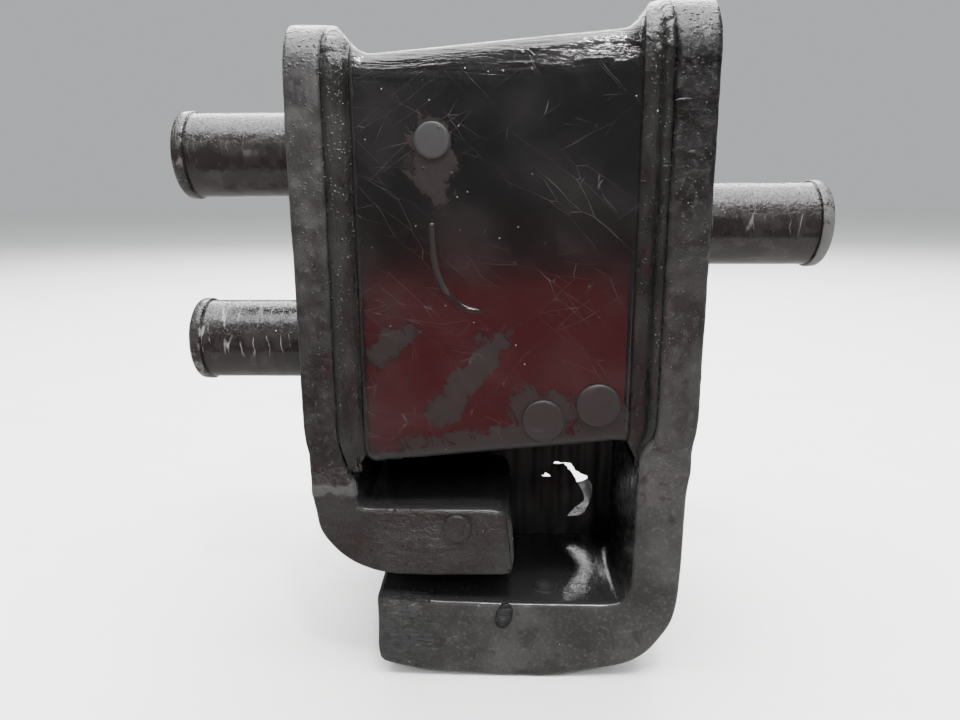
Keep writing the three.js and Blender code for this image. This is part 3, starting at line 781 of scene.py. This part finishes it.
def cushion_mesh():
    xs = np.r_[np.linspace(CUSHION_LEFT, -22.2, 12), np.linspace(-21.8, 20.8, 86),
               np.linspace(21.2, CUSHION_RIGHT, 14)]
    rings = []
    for x in xs:
        up, down, lost = end_swell(x)
        top, bottom = TOP_AT_MIDDLE + TOP_RISE * x + up, BOTTOM_AT_MIDDLE + BOTTOM_RISE * x - down
        half = CUSHION_HALF - lost
        ring = []
        radius_top, tall, radius_bottom = 2.5, 4.8, 1.7
        front = np.linspace(bottom + radius_bottom, top - tall, 112)
        ring += [(x, -half, z) for z in front[:-1]]
        for k in range(16):
            t = math.pi / 2 * k / 16
            ring.append((x, -half + radius_top * (1 - math.cos(t)), top - tall * (1 - math.sin(t))))
        depth = np.linspace(-half + radius_top, half - radius_top, 50)
        dip = 0.5 * (1 - up / 2.9)
        ring += [(x, y, top - dip * (1 - (y / half) ** 2)) for y in depth[:-1]]
        for k in range(12):
            t = math.pi / 2 * k / 12
            ring.append((x, half - radius_top * (1 - math.sin(t)), top - tall * (1 - math.cos(t))))
        ring += [(x, half, z) for z in np.linspace(top - tall, bottom + radius_bottom, 80)[:-1]]
        for k in range(7):
            t = math.pi / 2 * k / 7
            ring.append((x, half - radius_bottom * (1 - math.cos(t)),
                         bottom + radius_bottom * (1 - math.sin(t))))
        ring += [(x, y, bottom) for y in np.linspace(half - radius_bottom, -half + radius_bottom, 50)[:-1]]
        for k in range(7):
            t = math.pi / 2 * k / 7
            ring.append((x, -half + radius_bottom * (1 - math.sin(t)),
                         bottom + radius_bottom * (1 - math.cos(t))))
        rings.append(ring)
    return skin(rings)


def bead(keys, radius, front, segments=14, count=70):
    """A raised half-round bead along XZ keys on the face at Y = front: a round start and a tapered end."""
    path = spline(keys, count)
    tangent = np.gradient(path, axis=0)
    tangent /= np.linalg.norm(tangent, axis=1)[:, None]
    rings = []
    for i, (p, t) in enumerate(zip(path, tangent)):
        r = radius * max(0.12, math.sqrt(1 - (1 - min(1.0, min(i * 0.55, (count - 1 - i) * 0.16))) ** 2))
        side = np.array([-t[1], t[0]])
        rings.append([(p[0] + side[0] * r * math.cos(a), front + 0.1 - r * 0.75 * math.sin(a),
                       p[1] + side[1] * r * math.cos(a))
                      for a in np.linspace(0, 2 * math.pi, segments, endpoint=False)])
    return skin(rings)


NUBS = ((-11.04, 98.76, 2.93), (7.68, 51.16, 3.7), (17.28, 53.94, 3.84))
BEAD = ((-11.3, 85.6), (-11.33, 84.0), (-11.05, 79.5), (-10.12, 75.96), (-8.47, 73.05), (-5.92, 71.16),
        (-3.02, 70.46))
# matt scuffs on the front face: x, z, half width, half height, turn in degrees, strength
SCUFFS = (
    (-11.0, 95.64, 4.2, 6.79, -8, 0.9), (-10.5, 90.21, 1.5, 3.1, 0, 0.8), (-19.0, 64.5, 6.0, 2.52, -35, 0.9),
    (-3.5, 60.62, 2.4, 10.19, 38, 0.9), (-8.5, 55.29, 3.2, 7.27, 30, 0.8), (8.5, 51.89, 7.5, 5.43, 10, 0.8),
    (18.0, 51.41, 6.4, 4.85, 10, 0.8), (1.0, 48.5, 24.0, 2.04, -5.6, 0.7),
    (3.0, 46.37, 25.0, 1.55, -5.6, 1.1),
    (-2.0, 65.96, 3.0, 1.94, 0, 0.6),
)


def scuff_share(verts):
    out = np.zeros(len(verts))
    front = np.clip((-verts[:, 1] - (CUSHION_HALF - 3.0)) / 2.0, 0, 1)
    for x, z, rx, rz, turn, strength in SCUFFS:
        a = math.radians(turn)
        dx, dz = verts[:, 0] - x, verts[:, 2] - z
        u, v = dx * math.cos(a) - dz * math.sin(a), dx * math.sin(a) + dz * math.cos(a)
        out = np.maximum(out, strength * np.exp(-((u / rx) ** 2 + (v / rz) ** 2) * 0.7))
    left = np.exp(-np.maximum(0, verts[:, 0] + 24.0) / 0.5) * 1.1
    corner = np.exp(-(np.hypot(verts[:, 0] - CUSHION_LEFT, verts[:, 2] - 42.9) / 2.6) ** 2) * 0.9
    out = np.maximum(out, np.maximum(left, corner))
    for x, z, r in NUBS:
        away = np.hypot(verts[:, 0] - x, verts[:, 2] - z)
        out = np.maximum(out, (away < r + 0.1) * (1.35 if z > 90 else 1.15))
    back = np.clip((verts[:, 1] - (CUSHION_HALF - 3.0)) / 2.0, 0, 1)
    return out * front + back * np.clip(0.55 * lumps(verts, 13.0, 8, 2) - 0.1, 0, 0.7)


cushion_parts = [cushion_mesh()]
cushion_parts += [disc_boss(x, z, r, -CUSHION_HALF, NUB) for x, z, r in NUBS]
cushion_parts.append(bead(BEAD, 0.50, -CUSHION_HALF))
cushion_verts, cushion_faces = join_parts(*cushion_parts)
matt = scuff_share(cushion_verts)
bead_from = len(cushion_verts) - len(cushion_parts[-1][0])
matt[bead_from:] = 0.95 - 0.65 * np.clip((76 - cushion_verts[bead_from:, 2]) / 4, 0, 1)
above_rim = cushion_verts[:, 2] - (TOP_AT_MIDDLE + TOP_RISE * cushion_verts[:, 0] - 6.5)
cushion = make("cushion_rubber", cushion_verts, cushion_faces, CUSHION,
               lambda p: 0.05 * lumps(p, 13.0, 55, 2),
               [("matt", matt),
                ("rim", np.clip(above_rim / 3.0, 0, 1))])
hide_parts("cushion")
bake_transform(cushion)


# ---------------------------------------------------------------- torn web of flash
TEAR = [
    (14.1, 32.2), (15.9, 31.9), (16.8, 30.3), (19.3, 29.1), (20.6, 26.8), (20.7, 25.1), (20.1, 22.5),
    (19.1, 20.3), (17.1, 19.3), (15.1, 19.1), (17.0, 21.5), (19.0, 23.4), (18.7, 25.1), (17.3, 27.5),
    (16.2, 29.6), (14.8, 31.2),
]
SLITS = [[(9.1, 28.9), (9.8, 29.2), (10.5, 30.0), (10.9, 29.3), (12.0, 28.8), (10.6, 28.7)],
         [(11.7, 31.9), (12.6, 32.6), (13.3, 32.3), (14.3, 31.9), (13.2, 31.7), (12.6, 31.9)]]


def inside(poly, x, z):
    hit, n = False, len(poly)
    for i in range(n):
        (x0, z0), (x1, z1) = poly[i], poly[(i + 1) % n]
        if (z0 > z) != (z1 > z) and x < (x1 - x0) * (z - z0) / (z1 - z0) + x0:
            hit = not hit
    return hit


def nearest_on(poly, x, z):
    best, where = 1e9, (x, z)
    n = len(poly)
    for i in range(n):
        a, b = np.array(poly[i]), np.array(poly[(i + 1) % n])
        t = np.clip(np.dot((x, z) - a, b - a) / np.dot(b - a, b - a), 0, 1)
        q = a + t * (b - a)
        d = math.hypot(q[0] - x, q[1] - z)
        if d < best:
            best, where = d, tuple(q)
    return best, where


def web_mesh():
    """A sheet on a grid in XZ, with cells inside the tear left out and its rim snapped to the tear."""
    step = 0.4
    holes = [TEAR] + SLITS

    def in_web(x, z):
        if not -24.4 < x < 24.9 or z > BOTTOM_AT_MIDDLE + BOTTOM_RISE * x + 0.6:
            return False
        low = 15.0 if x > 2.65 else np.interp(x, (0.3, 0.9, 1.6, 2.0, 2.3, 2.6),
                                              (34.3, 33.7, 32.7, 31.8, 30.2, 27.0))
        if z < low:
            return False
        if x > 19.6 and z < 20.2:
            return math.hypot(x - 20.6, z - 20.3) < 5.4 or x < 20.6
        return True

    xs, zs = np.arange(-24.6, 25.2, step), np.arange(14.9, 50.5, step)
    cells = [(i, k) for i in range(len(xs) - 1) for k in range(len(zs) - 1)
             if in_web(xs[i] + step / 2, zs[k] + step / 2)
             and not any(inside(h, xs[i] + step / 2, zs[k] + step / 2) for h in holes)]
    used, count = {}, {}
    for i, k in cells:
        for c in ((i, k), (i + 1, k), (i + 1, k + 1), (i, k + 1)):
            used.setdefault(c, len(used))
            count[c] = count.get(c, 0) + 1
    flat = []
    for (i, k) in used:
        x, z = xs[i], zs[k]
        if count[(i, k)] < 4:
            gaps = [nearest_on(h, x, z) for h in holes]
            gap, where = min(gaps)
            if gap < step * 1.2:
                x, z = (where[0] + 0.10 * math.sin(9.1 * where[1] + x),
                        where[1] + 0.10 * math.sin(7.7 * where[0] + z))
        rim = min(nearest_on(h, x, z)[0] for h in holes)
        edge = min(abs(x - 24.9) if z < 50 else 9, abs(z - (BOTTOM_AT_MIDDLE + BOTTOM_RISE * x)))
        thick = 0.22 + 0.38 * smooth(rim / 3.0) + 0.9 * (1 - smooth(edge / 2.0))
        wave = 0.5 * math.sin(x * 0.9 + 0.4 * math.sin(z * 0.3)) + 0.25 * math.sin(x * 2.3 + 1.0)
        flat.append((x, z, thick, wave))
    n = len(flat)
    verts = [(x, w * 0.5 - t, z) for x, z, t, w in flat] + [(x, w * 0.5 + t, z) for x, z, t, w in flat]
    faces, edges = [], {}
    for i, k in cells:
        q = [used[c] for c in ((i, k), (i + 1, k), (i + 1, k + 1), (i, k + 1))]
        faces += [tuple(q), tuple(v + n for v in q[::-1])]
        for a, b in zip(q, q[1:] + q[:1]):
            edges[(a, b)] = edges.get((a, b), 0) + 1
    faces += [(b, a, a + n, b + n) for a, b in edges if (b, a) not in edges]
    return np.array(verts), faces


web = make("flash_web_rubber", *web_mesh(), WEB)
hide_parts("flash_web")
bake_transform(web)


# ---------------------------------------------------------------- studs and caps
def thread_mesh(z, side, tip, thickness):
    """A shank, then a helical thread whose crest follows the angle round the stud."""
    start = PLATE_OUT - thickness
    finish = tip - 2.2
    thread_from = PLATE_OUT + 1.4
    segments = THREAD_SEGMENTS
    along = np.arange(start - 1.0, finish, 0.2)
    verts = []
    for a in along:
        for k in range(segments):
            t = 2 * math.pi * k / segments
            phase = ((a - thread_from) / THREAD_PITCH - k / segments) % 1.0
            tooth = min(1.0, max(0.0, 1.35 - abs(phase - 0.5) * 3.2)) if a > thread_from - 0.8 else 1.0
            blend = smooth((a - thread_from) / 1.2)
            r = STUD_R * (1 - blend) + blend * (STUD_CORE_R + (STUD_R - STUD_CORE_R) * tooth)
            r = min(r, STUD_CORE_R - 0.35 + (finish - a) * 0.8)
            verts.append((side * a, r * math.cos(t), z + r * math.sin(t)))
    n = len(along)
    faces = tube_faces(n, segments, side)
    for i, flip in ((0, side < 0), (n - 1, side > 0)):
        ring = [i * segments + k for k in range(segments)]
        faces.append(tuple(ring if flip else ring[::-1]))
    return np.array(verts), faces


def cap_profile(length, bore_depth):
    outer = [(0.0, CAP_R - 0.3), (0.1, CAP_R - 0.08), (0.35, CAP_R)]
    outer += [(a, CAP_R) for a in np.arange(1.0, length - 4.1, 0.5)]
    outer += [(length - back, CAP_R + r) for back, r in (
        (3.9, 0.0), (3.2, 0.03), (2.98, 0.05), (2.92, -0.05), (2.88, -0.3), (2.72, -0.3))]
    outer += [(length - back, CAP_RING_R - r) for back, r in (
        (2.68, 0.22), (2.58, 0.03), (2.3, 0.0), (1.6, 0.03), (1.0, 0.08), (0.65, 0.22), (0.35, 0.5),
        (0.12, 0.9), (0.02, 1.4), (0.05, 1.9), (0.3, 2.4), (0.5, 3.0), (0.55, 3.8))]
    outer += [(length - 0.55, r) for r in (3.2, 1.6, 0.35)]
    bore = [(bore_depth, 0.35), (bore_depth, 3.0), (bore_depth, CAP_BORE_R - 0.4),
            (bore_depth - 0.5, CAP_BORE_R)]
    bore += [(a, CAP_BORE_R) for a in np.arange(bore_depth - 1.0, 1.0, -0.8)]
    bore += [(0.5, CAP_BORE_R + 0.05), (0.0, CAP_BORE_R + 0.4)]
    return outer, bore


def cap_mesh(z, side, tip):
    start = PLATE_OUT - 0.25
    length = tip - start
    outer, bore = cap_profile(length, length - 1.6)
    tube = lathe(outer, z, side, start)
    segments, inner_from = CAP_SEGMENTS, len(tube[0])
    verts, faces = join_parts(tube, lathe(bore, z, side, start))
    last_bore = len(verts) - segments
    for k in range(segments):
        j = (k + 1) % segments
        rim = (last_bore + k, k, j, last_bore + j)
        faces.append(rim if side < 0 else rim[::-1])
    for ring_start, flip in ((inner_from - segments, side < 0), (inner_from, side > 0)):
        ring = [ring_start + k for k in range(segments)]
        faces.append(tuple(ring[::-1] if flip else ring))
    return verts, faces, start, length


STUDS = (("stud_engine_upper", "engine_side", ENGINE_STUD_Z[0], -1, ENGINE_TIP, ENGINE_WALL),
         ("stud_engine_lower", "engine_side", ENGINE_STUD_Z[1], -1, ENGINE_TIP, ENGINE_WALL),
         ("stud_frame", "frame_side", FRAME_STUD_Z, 1, FRAME_TIP, FRAME_WALL))
for node, body, z, side, tip, thickness in STUDS:
    stud = make(node + "_thread", *thread_mesh(z, side, tip, thickness), THREAD)
    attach(stud, body)
    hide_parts(node)

CAPS = (("cap_engine_upper", "cap_eu", ENGINE_STUD_Z[0], -1, ENGINE_TIP, 61, 0.45, 0.15),
        ("cap_engine_lower", "cap_el", ENGINE_STUD_Z[1], -1, ENGINE_TIP, 67, 0.5, 1.0),
        ("cap_frame", "cap_fr", FRAME_STUD_Z, 1, FRAME_TIP, 73, 0.78, 0.4))
for node, body, z, side, tip, seed, worn, cracked in CAPS:
    verts, faces, start, length = cap_mesh(z, side, tip)
    along = side * verts[:, 0] - start
    radius = np.hypot(verts[:, 1], verts[:, 2] - z)
    share = worn * np.clip((along - (length - 2.75)) / 0.15, 0,
                           1) * np.clip((radius - CAP_RING_R + 2.2) / 1.2, 0.3, 1)
    share *= 0.875 - 0.125 * np.clip((verts[:, 2] - z) / 3.0, -1, 1)
    outside = radius > CAP_BORE_R + 0.3
    cap = make(node + "_shell", verts, faces, CAP,
               lambda p, o=outside, s=seed: np.where(o,
                   0.03 * lumps(p, 3.2, s) + 0.04 * lumps(p, 9.0, s + 1, 1), 0.0),
               [("worn", share), ("crackle", np.clip((verts[:, 2] - z - 1.0) / 4.0, 0, 1)),
                ("cracked", cracked * np.clip((verts[:, 2] - z + 2.5) / 3.0, 0, 1) * (verts[:, 1] < 0))])
    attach(cap, body)
    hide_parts(node)


# ---------------------------------------------------------------- floor, lights, camera
def plain(name, colour, rough):
    m = Nodes(name)
    tone = m.step(m.noise(30, 3), 0.3, 0.7)
    return m.finish(m.mix(tone, colour, tuple(c * 0.97 for c in colour)), rough)


def sheet(name, corners, material):
    mesh = bpy.data.meshes.new(name)
    mesh.from_pydata(corners, [], [(0, 1, 2, 3)])
    mesh.materials.append(material)
    obj = bpy.data.objects.new(name, mesh)
    bpy.context.scene.collection.objects.link(obj)
    return obj


def level(x0, x1, y0, y1, z):
    return [(x0, y0, z), (x1, y0, z), (x1, y1, z), (x0, y1, z)]


def glow(name, colour, strength, fade=None):
    """Plain emission; fade = (y where it is full, y where it is gone, colour beyond)."""
    m = Nodes(name)
    m.tree.nodes.remove(m.bsdf)
    emit = m.tree.nodes.new("ShaderNodeEmission")
    emit.inputs[0].default_value = (*colour, 1)
    emit.inputs[1].default_value = strength
    if fade:
        axes = m.tree.nodes.new("ShaderNodeSeparateXYZ")
        m.link(m.place, axes.inputs[0])
        ragged = m.plus(axes.outputs[1], m.times(m.noise(60, 3), 0.08))
        m.link(m.mix(m.step(ragged, fade[1], fade[0]), fade[2], colour), emit.inputs[0])
    m.link(emit.outputs[0], m.out.inputs[0])
    return m.material


def gloss_only(obj):
    obj.visible_camera = obj.visible_diffuse = obj.visible_shadow = obj.visible_transmission = False


PALE = plain("pale_floor", (0.86, 0.86, 0.84), 0.7)
near_floor = sheet("floor_near", level(-3, 3, CARD_FRONT, 3, 0), PALE)
near_floor.visible_glossy = False
front_floor = sheet("floor_front", level(-3, 3, -3, CARD_FRONT, 0), PALE)
front_floor.visible_glossy = False
# Painted reflection: a red glowing sheet, seen only in gloss, puts a red sheen on the glossy front faces.
RED_CORNERS = [(-0.049, -0.150, -0.002), (0.049, -0.150, -0.002), (0.17, -0.80, -0.002),
               (-0.17, -0.80, -0.002)]
gloss_only(sheet("red_reflection_card", RED_CORNERS,
                 glow("card_red_look", (1.0, 0.045, 0.09), 1.30, (-0.60, -0.78, (0.05, 0.02, 0.02)))))
# Painted reflection: glowing grey sheets, seen only in gloss, stand in for the floor's reflection, darker on
# the left than on the right; the floor itself is hidden from gloss.
for name, x0, x1, tone in (("left", -3, -CARD_SPLIT, 0.56), ("middle", -CARD_SPLIT, CARD_SPLIT, 0.86),
                           ("right", CARD_SPLIT, 3, 0.80)):
    grey = glow("card_near_look_" + name, (tone, tone, tone * 0.98), 1.0)
    gloss_only(sheet("card_near_" + name, level(x0, x1, CARD_FRONT, 3, -0.002), grey))
# Painted reflection: a dim dark-red glowing sheet in front, seen only in gloss, stands for the dark room
# mirrored in the glossy faces.
gloss_only(sheet("dark_reflection_card", level(-3, 3, -3, -0.119, -0.004),
                 glow("card_dark_look", (0.070, 0.034, 0.034), 1.0)))
WALL = glow("backdrop_look", (0.50, 0.51, 0.52), 1.0)
WALL_CORNERS = ((-2.9, 2.9), (2.9, 2.9), (2.9, -2.9), (-2.9, -2.9))
for k, ((x0, y0), (x1, y1)) in enumerate(zip(WALL_CORNERS, WALL_CORNERS[1:] + WALL_CORNERS[:1])):
    wall = sheet("backdrop_%d" % k, [(x0, y0, -0.01), (x1, y1, -0.01), (x1, y1, 3), (x0, y0, 3)], WALL)
    wall.visible_glossy = wall.visible_diffuse = wall.visible_shadow = False


def area(name, place, aim, size, power, colour=(1, 1, 1)):
    light = bpy.data.lights.new(name, "AREA")
    light.shape, light.size, light.size_y = "RECTANGLE", size[0], size[1]
    light.energy, light.color = power, colour
    obj = bpy.data.objects.new(name, light)
    bpy.context.scene.collection.objects.link(obj)
    direction = np.array(aim, float) - np.array(place, float)
    obj.location = place
    obj.rotation_euler = Vector(direction).to_track_quat("-Z", "Y").to_euler()
    return obj


area("key_above", (0.0, -0.02, 0.80), (0, 0, 0.05), (0.9, 0.8), 23.0)
area("rear_sheet", (0.0, 0.62, 0.62), (0, 0, 0.10), (0.9, 0.5), 17.0)
area("spark", (0.07, -0.26, 0.66), (0, 0, 0.07), (0.035, 0.035), 2.4)
area("glint", (0.10, -0.55, 0.44), (0, 0, 0.05), (0.035, 0.035), 1.3)
for side in (-1, 1):
    fill = area("fill_left" if side < 0 else "fill_right", (0.7 * side, -0.15, 0.45), (0, 0, 0.06),
                (0.4, 0.4), 3.0)
    fill.visible_glossy = False


world = bpy.data.worlds.new("soft_room")
bpy.context.scene.world = world
world.use_nodes = True
sky = world.node_tree.nodes
direction, axes = sky.new("ShaderNodeTexCoord"), sky.new("ShaderNodeSeparateXYZ")
climb, tone = sky.new("ShaderNodeMapRange"), sky.new("ShaderNodeMix")
climb.interpolation_type, tone.data_type = "SMOOTHSTEP", "RGBA"
for socket, value in zip(climb.inputs[1:5], (0.10, 0.95, 0.0, 1.0)):
    socket.default_value = value
tone.inputs[6].default_value, tone.inputs[7].default_value = (0.10, 0.105, 0.11, 1), (0.80, 0.83, 0.85, 1)
world.node_tree.links.new(direction.outputs["Generated"], axes.inputs[0])
world.node_tree.links.new(axes.outputs[2], climb.inputs[0])
world.node_tree.links.new(climb.outputs[0], tone.inputs[0])
world.node_tree.links.new(tone.outputs[2], sky["Background"].inputs[0])
sky["Background"].inputs[1].default_value = 1.0

PITCH, ROLL, YAW = 0.2291807, -0.0047689, -0.0240901
forward = np.array([math.sin(YAW) * math.cos(PITCH), math.cos(YAW) * math.cos(PITCH), -math.sin(PITCH)])
right = np.array([math.cos(YAW), -math.sin(YAW), 0.0])
up = np.cross(right, forward)
right, up = right * math.cos(ROLL) + up * math.sin(ROLL), -right * math.sin(ROLL) + up * math.cos(ROLL)
camera_data = bpy.data.cameras.new("camera")
camera_data.sensor_width, camera_data.lens = 36.0, 27.6375
camera_data.clip_start = 0.01
camera = bpy.data.objects.new("camera", camera_data)
bpy.context.scene.collection.objects.link(camera)
spot = (np.array([-0.4013, -153.6416, 91.1159]) + SHIFT) * MM
camera.matrix_world = Matrix([[right[0], up[0], -forward[0], spot[0]],
                              [right[1], up[1], -forward[1], spot[1]],
                              [right[2], up[2], -forward[2], spot[2]], [0, 0, 0, 1]])
bpy.context.scene.camera = camera
